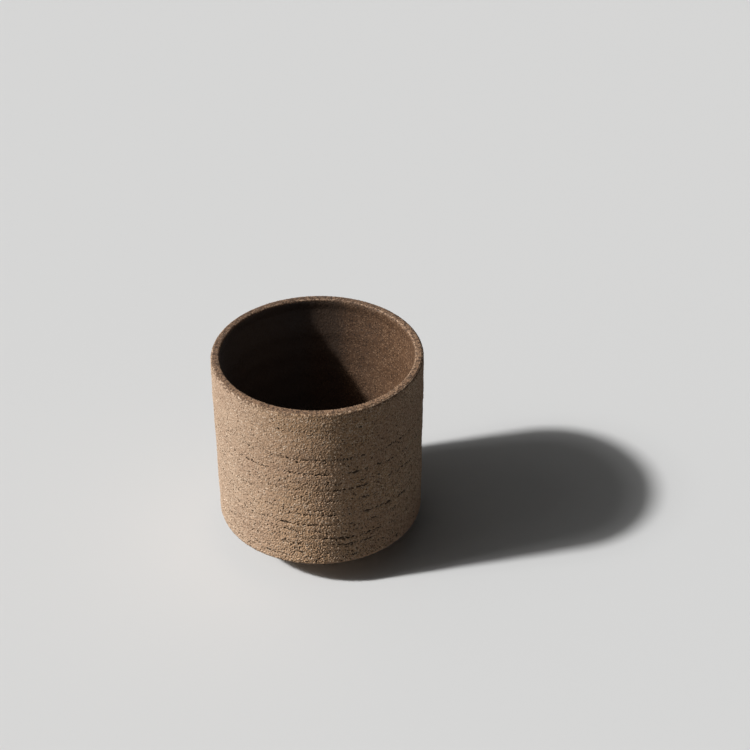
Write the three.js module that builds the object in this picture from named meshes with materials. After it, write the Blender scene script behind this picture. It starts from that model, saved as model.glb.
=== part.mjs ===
// A stoneware tumbler, thrown and turned on the wheel. It has a bare, coarse outer wall, a small
// foot ring set far in under the body, and a dark glaze that lines the inside and laps over the lip.
// Lengths are millimetres. The cup's axis is z, and the foot ring rests on the plane z = 0.

import * as THREE from 'three';

// Outside of the thrown body.
const rimDiameter = 80;
const baseDiameter = 78.2;
const bodyHeight = 71.1;
const standHeight = 10.4;
const lipOuterRounding = 0.9;
const lowerEdgeRounding = 2;

// Wall and floor, measured to the glazed face.
const lipThickness = 3.4;
const wallThicknessAtFloor = 4.8;
const floorThickness = 5.6;
const lipInnerRounding = 0.7;
const floorCornerRadius = 9;

// Underside of the body, which falls from the lower edge to the seat of the foot ring.
const undersideFall = 3.6;
const recessDome = 0.8;

// Foot ring, which is luted to the underside.
const footDiameter = 44;
const footWidth = 5;
const footOuterFlare = 0.9;
const footInnerFlare = 0.6;
const footEdgeRounding = 0.8;
const footOuterFillet = 2;
const footInnerFillet = 1.2;

// Grooves that coarse grit tore in the outer wall, pass by pass, as it was turned.
const plainBandBelowLip = 21.1;
const plainBandAboveEdge = 3;
const groovePitch = 6.2;
const grooveWidth = 1;
const firstGrooveDepth = 0.16;
const lastGrooveDepth = 0.3;

// Marks that the fingers left inside: a hollow under the thick lip, and broad shallow rings below it.
const lipHollowStartDrop = 1.6;
const lipHollowDeepDrop = 5.4;
const lipHollowEndDrop = 7.4;
const lipHollowDepth = 0.45;
const ringStartDrop = 14.4;
const ringPitch = 9.6;
const ringDepth = 0.15;
const ringHollowShares = [0.3, 0.7];

// Glaze. Its edge lies on the crown of the lip, it thickens inside and pools on the floor.
const glazeSetback = 1;
const glazeEdgeThickness = 0.12;
const glazeWallThickness = 0.35;
const glazePoolThickness = 0.6;
const glazeBackClearance = 0.05;

// Facets round the axis, and steps along each round stretch of an outline.
const facets = 52;
const edgeSteps = 3;
const cornerSteps = 5;
const domeSteps = 3;

// Heights and radii that follow from the sizes above.
const crownHeight = standHeight + bodyHeight;
const rimRadius = rimDiameter / 2;
const baseRadius = baseDiameter / 2;
const seatHeight = standHeight - undersideFall;
const floorHeight = seatHeight + floorThickness;
const glazeEdgeRadius = rimRadius - glazeSetback;
const footRadius = footDiameter / 2;
const footBoreRadius = footRadius - footWidth;
const seatOuterRadius = footRadius + footOuterFlare + footOuterFillet;
const seatInnerRadius = footBoreRadius - footInnerFlare - footInnerFillet;

const point = (radius, height) => new THREE.Vector2(radius, height);

// Points of a round stretch, from one angle to another, in degrees from the outward direction.
function arc(centre, radius, fromDegrees, toDegrees, steps) {
  const from = THREE.MathUtils.degToRad(fromDegrees);
  const to = THREE.MathUtils.degToRad(toDegrees);
  return new THREE.EllipseCurve(centre.x, centre.y, radius, radius, from, to, to < from).getPoints(steps);
}

// Radius of the outer wall, which narrows a little towards the lower edge.
function outerRadiusAt(height) {
  const share = (height - standHeight) / bodyHeight;
  return THREE.MathUtils.lerp(baseRadius, rimRadius, share);
}

// Radius of the glazed inner wall, before the rings. The wall is thicker at the floor.
function innerRadiusAt(height) {
  const share = (height - floorHeight) / (crownHeight - floorHeight);
  const thickness = THREE.MathUtils.lerp(wallThicknessAtFloor, lipThickness, share);
  return outerRadiusAt(height) - thickness;
}

// A line moved sideways by its own distance at each point. A line that runs inwards over the lip
// and down the inside moves into the wall. Both its ends stay level.
function moveIntoWall(line, distances) {
  const normals = line.slice(1).map((next, i) => {
    const run = next.clone().sub(line[i]).normalize();
    return point(-run.y, run.x);
  });
  return line.map((place, i) => {
    const before = normals[Math.max(i - 1, 0)];
    const after = normals[Math.min(i, normals.length - 1)];
    const middle = before.clone().add(after).normalize();
    return place.clone().addScaledVector(middle, distances[i] / middle.dot(after));
  });
}

// Grooves of the outer wall, from the lowest up. They deepen towards the lower edge.
function turningGrooves() {
  const highest = crownHeight - plainBandBelowLip;
  const lowest = standHeight + lowerEdgeRounding + plainBandAboveEdge;
  const passes = Math.floor((highest - lowest) / groovePitch);
  const grooves = [];
  for (let pass = passes; pass >= 0; pass -= 1) {
    const height = highest - pass * groovePitch;
    const depth = THREE.MathUtils.lerp(firstGrooveDepth, lastGrooveDepth, pass / Math.max(passes, 1));
    const lower = height - grooveWidth / 2;
    const upper = height + grooveWidth / 2;
    grooves.push(point(outerRadiusAt(lower), lower));
    grooves.push(point(outerRadiusAt(height) - depth, height));
    grooves.push(point(outerRadiusAt(upper), upper));
  }
  return grooves;
}

// Hollows of the inner wall, from the highest down to the floor corner.
function throwingRings(lowest) {
  const rings = [];
  const start = crownHeight - ringStartDrop;
  for (let ridge = start; ridge - ringPitch > lowest; ridge -= ringPitch) {
    rings.push(point(innerRadiusAt(ridge), ridge));
    for (const share of ringHollowShares) {
      const height = ridge - share * ringPitch;
      rings.push(point(innerRadiusAt(height) + ringDepth, height));
    }
  }
  return rings;
}

// The face that touches the drink, from the glaze's edge on the lip to the middle of the floor.
// Each point carries the thickness of the glaze behind it.
function glazedFace() {
  const innerRimRadius = rimRadius - lipThickness;
  const crownInner = point(innerRimRadius + lipInnerRounding, crownHeight - lipInnerRounding);
  const cornerTop = floorHeight + floorCornerRadius;
  const cornerCentre = point(innerRadiusAt(cornerTop) - floorCornerRadius, cornerTop);
  const hollowStart = crownHeight - lipHollowStartDrop;
  const hollowDeep = crownHeight - lipHollowDeepDrop;
  const hollowEnd = crownHeight - lipHollowEndDrop;
  const lip = arc(crownInner, lipInnerRounding, 90, 180, edgeSteps);
  const wall = [
    point(innerRadiusAt(hollowStart), hollowStart),
    point(innerRadiusAt(hollowDeep) + lipHollowDepth, hollowDeep),
    point(innerRadiusAt(hollowEnd) + lipHollowDepth, hollowEnd),
    ...throwingRings(cornerTop),
  ];
  const corner = arc(cornerCentre, floorCornerRadius, 0, -90, cornerSteps);
  const line = [point(glazeEdgeRadius, crownHeight), ...lip, ...wall, ...corner, point(0, floorHeight)];
  const lapWidth = glazeEdgeRadius - innerRimRadius;
  const lipShares = lip.map((place) => (glazeEdgeRadius - place.x) / lapWidth);
  const cornerShares = corner.map((place) => (cornerTop - place.y) / floorCornerRadius);
  const thicknesses = [
    glazeEdgeThickness,
    ...lipShares.map((share) => THREE.MathUtils.lerp(glazeEdgeThickness, glazeWallThickness, share)),
    ...wall.map(() => glazeWallThickness),
    ...cornerShares.map((share) => THREE.MathUtils.lerp(glazeWallThickness, glazePoolThickness, share)),
    glazePoolThickness,
  ];
  return { line, thicknesses };
}

// The clay bed behind the glaze. It keeps a hair's clearance on the wall and lies flush on the floor.
function glazeBed({ line, thicknesses }) {
  const depths = thicknesses.map((thickness, i) => {
    const onFloor = line[i].y <= floorHeight;
    return onFloor ? thickness : thickness + glazeBackClearance;
  });
  return moveIntoWall(line, depths);
}

// Outline of the body, from the middle of the underside round the outside and the lip to the floor.
function bodyOutline(face) {
  const bed = glazeBed(face);
  const domeRadius = (seatInnerRadius ** 2 + recessDome ** 2) / (2 * recessDome);
  const domeCentre = point(0, seatHeight + recessDome - domeRadius);
  const domeSpread = THREE.MathUtils.radToDeg(Math.asin(seatInnerRadius / domeRadius));
  const lowerEdge = point(baseRadius - lowerEdgeRounding, standHeight + lowerEdgeRounding);
  const slope = Math.atan2(undersideFall, lowerEdge.x - seatOuterRadius);
  const slopeDegrees = THREE.MathUtils.radToDeg(slope);
  const lipEdge = point(rimRadius - lipOuterRounding, bed[0].y - lipOuterRounding);
  const dome = arc(domeCentre, domeRadius, 90, 90 - domeSpread, domeSteps);
  dome[0].setX(0);
  return [
    ...dome,
    point(seatOuterRadius, seatHeight),
    ...arc(lowerEdge, lowerEdgeRounding, slopeDegrees - 90, 0, edgeSteps),
    ...turningGrooves(),
    ...arc(lipEdge, lipOuterRounding, 0, 90, edgeSteps),
    ...bed,
  ];
}

// Outline of the glaze, from the middle of its back up behind the wall, over the lip and down its face.
function glazeOutline({ line, thicknesses }) {
  const back = moveIntoWall(line, thicknesses).reverse();
  return [...back, ...line];
}

// Outline of the foot ring, from the bore round the resting face and the outside to the seat.
function footOutline() {
  const toeInner = point(footBoreRadius + footEdgeRounding, footEdgeRounding);
  const toeOuter = point(footRadius - footEdgeRounding, footEdgeRounding);
  const outerFillet = point(seatOuterRadius, seatHeight - footOuterFillet);
  const innerFillet = point(seatInnerRadius, seatHeight - footInnerFillet);
  const outline = [
    ...arc(toeInner, footEdgeRounding, 180, 270, edgeSteps),
    ...arc(toeOuter, footEdgeRounding, -90, 0, edgeSteps),
    ...arc(outerFillet, footOuterFillet, 180, 90, edgeSteps),
    ...arc(innerFillet, footInnerFillet, 90, 0, edgeSteps),
  ];
  return [...outline, outline[0].clone()];
}

function revolve(name, outline, material) {
  const geometry = new THREE.LatheGeometry(outline, facets);
  geometry.rotateX(Math.PI / 2);
  const mesh = new THREE.Mesh(geometry, material);
  mesh.name = name;
  return mesh;
}

const bareClay = new THREE.MeshStandardMaterial({ color: 0xb59a7f, roughness: 0.95, metalness: 0 });
const turnedClay = new THREE.MeshStandardMaterial({ color: 0x97806b, roughness: 0.9, metalness: 0 });
const darkGlaze = new THREE.MeshStandardMaterial({ color: 0x604836, roughness: 0.35, metalness: 0 });

const face = glazedFace();
const tumbler = new THREE.Group();
tumbler.add(revolve('stoneware_body', bodyOutline(face), bareClay));
tumbler.add(revolve('liner_glaze', glazeOutline(face), darkGlaze));
tumbler.add(revolve('foot_ring', footOutline(), turnedClay));

export default tumbler;
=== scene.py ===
"""A stoneware tumbler: its fine surface, finishes, light and camera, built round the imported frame."""

import logging
import math
from collections.abc import Sequence
from dataclasses import dataclass, replace
from functools import partial, reduce

import bpy
import numpy as np
from mathutils import Matrix, Vector


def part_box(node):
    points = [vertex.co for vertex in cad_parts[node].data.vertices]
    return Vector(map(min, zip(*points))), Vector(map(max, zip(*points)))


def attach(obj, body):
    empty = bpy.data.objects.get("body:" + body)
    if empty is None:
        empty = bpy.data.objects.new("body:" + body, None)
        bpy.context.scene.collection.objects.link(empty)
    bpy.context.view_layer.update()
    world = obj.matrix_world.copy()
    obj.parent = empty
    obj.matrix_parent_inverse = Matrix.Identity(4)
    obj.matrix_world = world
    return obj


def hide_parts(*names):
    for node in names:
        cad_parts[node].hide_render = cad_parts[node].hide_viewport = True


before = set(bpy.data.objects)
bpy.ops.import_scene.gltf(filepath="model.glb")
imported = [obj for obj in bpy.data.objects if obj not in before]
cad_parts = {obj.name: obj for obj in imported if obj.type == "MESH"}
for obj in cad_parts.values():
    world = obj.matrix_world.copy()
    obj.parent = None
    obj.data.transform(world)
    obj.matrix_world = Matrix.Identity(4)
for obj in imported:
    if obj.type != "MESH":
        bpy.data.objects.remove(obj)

log = logging.getLogger("tumbler")

MM = 0.001
BAKE_MAP = "OFBake"
NUMBER = "NodeSocketFloat"
COLOUR = "NodeSocketColor"

Colour = tuple[float, float, float]
MapArea = tuple[tuple[float, float], tuple[float, float]]

# Corner and size of the areas of the bake map.
WHOLE_MAP: MapArea = ((0.01, 0.01), (0.98, 0.98))
TALL_BAND: MapArea = ((0.01, 0.01), (0.71, 0.98))
LOWER_DISC: MapArea = ((0.735, 0.01), (0.255, 0.255))
UPPER_DISC: MapArea = ((0.735, 0.3), (0.255, 0.255))

# Powers that shape a cap of relief: a low one makes it full, with steep sides.
FULL_CAP = 0.8
PLAIN_CAP = 1.0
SHARP_CAP = 1.5


def arc(
    centre: tuple[float, float], radius: float, start: float, end: float, steps: int
) -> list[tuple[float, float]]:
    """Points of a round stretch of an outline.

    Args:
        centre: Radius and height of the arc's centre.
        radius: Radius of the arc itself.
        start: First angle in degrees, from the outward direction.
        end: Last angle in degrees.
        steps: Number of steps.

    Returns:
        The points, as radius and height.
    """
    angles = np.radians(np.linspace(start, end, steps + 1))
    return [(centre[0] + radius * math.cos(a), centre[1] + radius * math.sin(a)) for a in angles]


def run_along(line: np.ndarray) -> np.ndarray:
    """Distance along a line of points to each of them."""
    return np.concatenate([[0.0], np.cumsum(np.hypot(*np.diff(line, axis=0).T))])


def even_rows(corners: Sequence[tuple[float, float]], step: float) -> np.ndarray:
    """Spaces rows evenly along a line of corners.

    Args:
        corners: Points of the line, as radius and height.
        step: Wanted spacing.

    Returns:
        An array of rows without the last corner, so that the next stretch can follow.
    """
    line = np.array(corners)
    run = run_along(line)
    places = np.linspace(0.0, run[-1], max(2, round(run[-1] / step)), endpoint=False)
    return np.stack([np.interp(places, run, line[:, axis]) for axis in (0, 1)], axis=1)


@dataclass(frozen=True)
class Fade:
    """A soft change from one level to another, between two places. It may run downwards."""

    start: float
    end: float
    before: float = 0.0
    after: float = 1.0

    def at(self, value: np.ndarray | float) -> np.ndarray:
        """The level at each place."""
        share = np.clip((value - self.start) / (self.end - self.start), 0.0, 1.0)
        return self.before + (self.after - self.before) * share * share * (3.0 - 2.0 * share)

    def moved(self, distance: float) -> "Fade":
        """The same change, further along."""
        return Fade(self.start + distance, self.end + distance, self.before, self.after)


@dataclass(frozen=True)
class CupSizes:
    """Sizes of the cup in metres. The frame gives the reach, and the rest repeats the solids' own sizes."""

    rim_radius: float
    crown_height: float
    seat_height: float
    seat_outer_radius: float
    base_radius: float = 39.1 * MM
    stand_height: float = 10.4 * MM
    lip_outer_rounding: float = 0.9 * MM
    lip_inner_rounding: float = 0.7 * MM
    lower_edge_rounding: float = 2.0 * MM
    lip_thickness: float = 3.4 * MM
    wall_thickness_at_floor: float = 4.8 * MM
    floor_thickness: float = 5.6 * MM
    floor_corner_radius: float = 9.0 * MM
    recess_dome: float = 0.8 * MM
    seat_inner_radius: float = 15.2 * MM
    glaze_setback: float = 1.0 * MM
    glaze_edge_thickness: float = 0.12 * MM
    glaze_wall_thickness: float = 0.35 * MM
    headroom: float = 0.2 * MM

    @classmethod
    def from_frame(cls) -> "CupSizes":
        """Reads the reach of the cup from the frame."""
        _, body_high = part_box("stoneware_body")
        _, glaze_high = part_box("liner_glaze")
        _, foot_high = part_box("foot_ring")
        return cls(
            rim_radius=body_high.x,
            crown_height=glaze_high.z,
            seat_height=foot_high.z,
            seat_outer_radius=foot_high.x,
        )

    @property
    def floor_height(self) -> float:
        """Height of the glazed floor."""
        return self.seat_height + self.floor_thickness

    @property
    def clay_crown(self) -> float:
        """Height of the bare clay on the crown of the lip, just under the glaze."""
        return self.crown_height - self.glaze_edge_thickness - 0.5 * self.headroom

    @property
    def glaze_edge_radius(self) -> float:
        """Radius of the glaze's edge on the crown of the lip."""
        return self.rim_radius - self.glaze_setback

    @property
    def corner_top(self) -> float:
        """Height at which the inner wall bends into the floor."""
        return self.floor_height + self.floor_corner_radius

    @property
    def corner_centre(self) -> tuple[float, float]:
        """Radius and height of the centre of the round floor corner."""
        return self.inner_radius(self.corner_top) - self.floor_corner_radius, self.corner_top

    def outer_radius(self, height: np.ndarray | float) -> np.ndarray | float:
        """Radius of the outer wall, which narrows a little towards the lower edge."""
        share = (height - self.stand_height) / (self.crown_height - self.stand_height)
        return self.base_radius + (self.rim_radius - self.base_radius) * share

    def inner_radius(self, height: np.ndarray | float) -> np.ndarray | float:
        """Radius of the glazed wall inside, before the throwing rings."""
        share = (height - self.floor_height) / (self.crown_height - self.floor_height)
        thinning = self.wall_thickness_at_floor - self.lip_thickness
        return self.outer_radius(height) - self.wall_thickness_at_floor + thinning * share


def evened(noise: np.ndarray) -> np.ndarray:
    """The noise with a mean of 0 and a spread of 1."""
    return (noise - noise.mean()) / noise.std()


class ReliefSheet:
    """A sheet of relief wrapped round the cup. Rows run along the outline and columns round the axis."""

    def __init__(self, length: float, columns: int, radius: float, step: float, seed: int) -> None:
        """Makes an empty sheet.

        Args:
            length: Reach of the sheet along the outline.
            columns: Number of columns in one turn.
            radius: Radius at which the columns are spaced truly.
            step: Spacing of the rows.
            seed: Seed of every random draw on the sheet.
        """
        self.step = step
        self.spacing = 2.0 * math.pi * radius / columns
        self.shape = (math.ceil(length / step) + 2, columns)
        self.random = np.random.default_rng(seed)
        self.along = self._wrapped(self.shape[0], step)[:, None]
        self.round = self._wrapped(columns, self.spacing)[None, :]

    @staticmethod
    def _wrapped(count: int, step: float) -> np.ndarray:
        """Distance from the first of a ring of cells to each of them."""
        index = np.arange(count)
        return np.minimum(index, count - index) * step

    def _cap(self, along: float, around: float) -> np.ndarray:
        """A rounded cap of this half reach, at the first cell."""
        return np.clip(1.0 - (self.along / along) ** 2 - (self.round / around) ** 2, 0.0, None)

    def _at_every_mark(self, marks: np.ndarray, cap: np.ndarray) -> np.ndarray:
        """The sum of a cap at every mark, by the mark's height."""
        return np.fft.irfft2(np.fft.rfft2(marks) * np.fft.rfft2(cap), s=self.shape)

    def spread(
        self, marks: np.ndarray, along: float, around: float, fullness: float = SHARP_CAP
    ) -> np.ndarray:
        """Gives every mark the shape of a small cap.

        Args:
            marks: Heights at the middle of each cap.
            along: Half the cap's reach along the outline.
            around: Half its reach round the axis.
            fullness: A low power makes the cap full, and a high one makes it pointed.

        Returns:
            The sheet of caps.
        """
        return self._at_every_mark(marks, self._cap(along, around) ** fullness)

    def grain(self, along: float, around: float | None = None) -> np.ndarray:
        """Even noise with grains of about this reach, and a spread of 1."""
        return evened(self.spread(self.random.standard_normal(self.shape), along, around or along))

    def scatter(self, per_mm2: np.ndarray | float, least: float = 0.35) -> np.ndarray:
        """Random marks with heights from least to 1, this many to a square millimetre."""
        hits = self.random.random(self.shape) < per_mm2 * self.step * self.spacing / MM**2
        return hits * self.random.uniform(least, 1.0, self.shape)

    def even_scatter(self, per_mm2: float, least: float = 0.45) -> np.ndarray:
        """Marks with heights from least to 1, one at a random place in each cell of an even net."""
        cell = MM / math.sqrt(per_mm2)
        net = (int(self.shape[0] * self.step / cell), int(self.shape[1] * self.spacing / cell))
        rows = (np.arange(net[0])[:, None] + self.random.random(net)) * self.shape[0] / net[0]
        columns = (np.arange(net[1])[None, :] + self.random.random(net)) * self.shape[1] / net[1]
        marks = np.zeros(self.shape)
        marks[rows.astype(int), columns.astype(int)] = self.random.uniform(least, 1.0, net)
        return marks

    def without_slow(self, heights: np.ndarray, reach: float, share: float) -> np.ndarray:
        """The heights, less a share of their mean over a cap of this reach round each place."""
        cap = self._cap(reach, reach)
        return heights - share * self._at_every_mark(heights, cap / cap.sum())

    def line_noise(self, reach: float, axis: int = 1) -> np.ndarray:
        """Noise of spread 1 that changes only round the cup, or with axis 0 only along the outline."""
        distance = (self.along[:, 0], self.round[0])[axis]
        marks = self.random.standard_normal(self.shape[axis])
        cap = np.exp(-0.5 * (distance / reach) ** 2)
        return evened(np.fft.irfft(np.fft.rfft(marks) * np.fft.rfft(cap), n=self.shape[axis]))

    def on_rows(self, values: np.ndarray, rows: np.ndarray) -> np.ndarray:
        """The sheet at uneven rows, by their distance along the outline."""
        place = run_along(rows) / self.step
        lower = place.astype(int)
        share = (place - lower)[:, None]
        return (1.0 - share) * values[lower] + share * values[lower + 1]


@dataclass(frozen=True)
class Grit:
    """How coarse a surface of gritty clay is: fine grains, sand, stones and lumps.

    Heights and reaches are in metres, and densities are counts to a square millimetre.
    """

    fine: float = 0.04 * MM
    fine_reach: float = 0.24 * MM
    fine_peaks: float = 0.35
    sand: float = 0.142 * MM
    sand_reach: float = 0.31 * MM
    sand_density: float = 1.9
    sand_top: float = 1.3
    sand_paleness: float = 0.9
    stone: float = 0.075 * MM
    stone_reach: float = 0.48 * MM
    stone_stretch: float = 1.15
    stone_density: float = 0.2
    stone_top: float = 1.1
    stone_paleness: float = 0.4
    lump: float = 0.022 * MM
    lump_reach: float = 0.9 * MM
    lump_stretch: float = 1.5
    levelled_reach: float = 1.0 * MM
    levelled_share: float = 0.6

    def relief(self, sheet: ReliefSheet) -> tuple[np.ndarray, np.ndarray]:
        """Draws the grit.

        Args:
            sheet: The sheet to draw on.

        Returns:
            The relief, with a mean of 0, and the share of pale grit at each place.
        """
        fine = sheet.grain(self.fine_reach)
        peaked = fine + self.fine_peaks * (fine * fine - 1.0)
        sand = sheet.even_scatter(self.sand_density)
        sand = np.minimum(sheet.spread(sand, self.sand_reach, self.sand_reach, PLAIN_CAP), self.sand_top)
        stones = sheet.scatter(self.stone_density)
        stones = sheet.spread(stones, self.stone_reach, self.stone_stretch * self.stone_reach, FULL_CAP)
        stones = np.minimum(stones, self.stone_top)
        lumps = sheet.grain(self.lump_reach, self.lump_stretch * self.lump_reach)
        grains = self.fine * peaked + self.sand * sand + self.stone * stones
        relief = sheet.without_slow(grains, self.levelled_reach, self.levelled_share) + self.lump * lumps
        pale = np.clip(self.sand_paleness * sand + self.stone_paleness * stones, 0.0, 1.0)
        return relief - relief.mean(), pale


@dataclass(frozen=True)
class MapPatch:
    """A stretch of rows on the bake map: a band in two halves, one over the other, or a disc."""

    rows: tuple[int, int]
    area: MapArea
    pole: int | None = None
    half_height: float = 0.49
    upper_half: float = 0.51

    def spots(self, run: np.ndarray, row: np.ndarray, column: np.ndarray, columns: int) -> np.ndarray:
        """Places on the map.

        Args:
            run: Distance along the outline to each row of the mesh.
            row: Row of each corner of each face.
            column: Column of each corner of each face, where the first comes again as the last.
            columns: Number of columns in one turn.

        Returns:
            The map place of each corner.
        """
        first, last = self.rows
        corner, size = self.area
        if self.pole is None:
            half = 2 * column.min(axis=1, keepdims=True) >= columns
            across = 2.0 * column / columns - half
            share = (run[row] - run[first]) / (run[last] - run[first])
            spots = np.stack([across, self.half_height * share + self.upper_half * half], axis=-1)
        else:
            middle = run[self.pole]
            reach = np.abs(run[row] - middle) / max(abs(run[first] - middle), abs(run[last] - middle))
            turn = 2.0 * math.pi * column / columns
            spots = 0.5 + 0.5 * np.stack([reach * np.sin(turn), -reach * np.cos(turn)], axis=-1)
        return np.array(corner) + spots * np.array(size)


@dataclass
class TurnedMesh:
    """Builds a closed mesh from rows revolved about the axis.

    With looped set, the last row meets the first, as on a ring. Otherwise both ends close on the axis.
    """

    columns: int
    looped: bool = False

    def build(
        self,
        name: str,
        rows: np.ndarray,
        relief: np.ndarray,
        patches: Sequence[MapPatch],
        marks: dict[str, np.ndarray],
        finish: bpy.types.Material,
    ) -> bpy.types.Object:
        """Makes the mesh object.

        Args:
            name: Name of the piece.
            rows: Radius and height of each row.
            relief: Height of the relief, outwards, for each row and column.
            patches: Patches of the bake map, which cover all rows in order.
            marks: Numbers for the finish to read, by name, for each row and column.
            finish: Material of the piece.

        Returns:
            The object, with its bake map, its marks and its material.
        """
        rings = self._rings(rows, relief)
        points = rings.reshape(-1, 3)
        count = len(rows)
        steps = np.arange(count if self.looped else count - 1)
        row, column = (grid.ravel() for grid in np.meshgrid(steps, np.arange(self.columns), indexing="ij"))
        quad_rows = np.stack([row, row, row + 1, row + 1], axis=1)
        quad_columns = np.stack([column, column + 1, column + 1, column], axis=1)
        quads = (quad_rows % count) * self.columns + quad_columns % self.columns
        run = run_along(np.concatenate([rows, rows[:1]]) if self.looped else rows)
        spots = np.zeros((len(quads), 4, 2))
        for patch in patches:
            mine = (row >= patch.rows[0]) & (row < patch.rows[1])
            spots[mine] = patch.spots(run, quad_rows[mine], quad_columns[mine], self.columns)
        fans = np.empty((0, 3), int)
        fan_spots = np.empty((0, 3, 2))
        if not self.looped:
            poles = [[0.0, 0.0, ring[:, 2].mean()] for ring in (rings[0], rings[-1])]
            points = np.concatenate([points, poles])
            ends = ((0, patches[0]), (count - 1, patches[-1]))
            sides = [self._fan(count, end, run, patch) for end, patch in ends]
            fans = np.concatenate([side[0] for side in sides])
            fan_spots = np.concatenate([side[1] for side in sides])
        mesh = self._mesh(name, points, quads, fans)
        layer = mesh.uv_layers.new(name=BAKE_MAP)
        flat = np.concatenate([spots.reshape(-1, 2), fan_spots.reshape(-1, 2)])
        layer.data.foreach_set("uv", flat.astype(np.float32).ravel())
        for mark, values in marks.items():
            self._write(mesh, mark, values)
        mesh.materials.append(finish)
        piece = bpy.data.objects.new(name, mesh)
        bpy.context.scene.collection.objects.link(piece)
        return piece

    @staticmethod
    def _write(mesh: bpy.types.Mesh, name: str, values: np.ndarray) -> None:
        """Stores one number for each vertex. The vertices past the last value get 0."""
        full = np.zeros(len(mesh.vertices), np.float32)
        full[: values.size] = values.ravel()
        mesh.attributes.new(name, "FLOAT", "POINT").data.foreach_set("value", full)

    def _fan(self, count: int, end: int, run: np.ndarray, patch: MapPatch) -> tuple[np.ndarray, np.ndarray]:
        """Triangles from an end row to the axis, and their map places.

        Args:
            count: Number of rows.
            end: The end row.
            run: Distance along the outline to each row.
            patch: The patch that the end row is in.

        Returns:
            The triangles and the places of their corners.
        """
        column = np.arange(self.columns)
        pole = np.full(self.columns, count * self.columns + (end > 0))
        here = end * self.columns + column
        after = end * self.columns + (column + 1) % self.columns
        pair = (after, here) if end == 0 else (here, after)
        pair_columns = (column + 1, column) if end == 0 else (column, column + 1)
        rows = np.full((self.columns, 2), end)
        edge = patch.spots(run, rows, np.stack(pair_columns, axis=1), self.columns)
        middle = np.broadcast_to(edge.mean(axis=(0, 1)), (self.columns, 1, 2))
        return np.stack([pole, *pair], axis=1), np.concatenate([middle, edge], axis=1)

    def _rings(self, rows: np.ndarray, relief: np.ndarray) -> np.ndarray:
        """Points of each row with its relief. The first column is in front, and the next to its right."""
        normals = self._row_normals(rows)
        radius = rows[:, :1] + relief * normals[:, :1]
        height = rows[:, 1:] + relief * normals[:, 1:]
        turn = np.arange(self.columns)[None, :] * (2.0 * math.pi / self.columns)
        return np.stack([radius * np.sin(turn), -radius * np.cos(turn), height], axis=-1)

    def _row_normals(self, rows: np.ndarray) -> np.ndarray:
        """Outward direction of each row, as radius and height."""
        run = np.gradient(rows, axis=0)
        if self.looped:
            run = np.roll(rows, -1, axis=0) - np.roll(rows, 1, axis=0)
        normal = np.stack([run[:, 1], -run[:, 0]], axis=1)
        return normal / np.linalg.norm(normal, axis=1, keepdims=True)

    @staticmethod
    def _mesh(name: str, points: np.ndarray, quads: np.ndarray, fans: np.ndarray) -> bpy.types.Mesh:
        """Fills a mesh from arrays of points, quads and triangles."""
        mesh = bpy.data.meshes.new(name)
        corners = np.concatenate([quads.ravel(), fans.ravel()]).astype(np.int32)
        sizes = np.concatenate([np.full(len(quads), 4), np.full(len(fans), 3)])
        starts = np.concatenate([[0], np.cumsum(sizes)[:-1]]).astype(np.int32)
        mesh.vertices.add(len(points))
        mesh.vertices.foreach_set("co", points.astype(np.float32).ravel())
        mesh.loops.add(len(corners))
        mesh.loops.foreach_set("vertex_index", corners)
        mesh.polygons.add(len(sizes))
        mesh.polygons.foreach_set("loop_start", starts)
        mesh.polygons.foreach_set("use_smooth", np.ones(len(sizes), bool))
        mesh.update(calc_edges=True)
        return mesh


@dataclass(frozen=True)
class Patches:
    """Soft patches of noise: how many to a millimetre, their detail, and the levels they fade between."""

    per_mm: float
    detail: float
    fade: Fade


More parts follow.
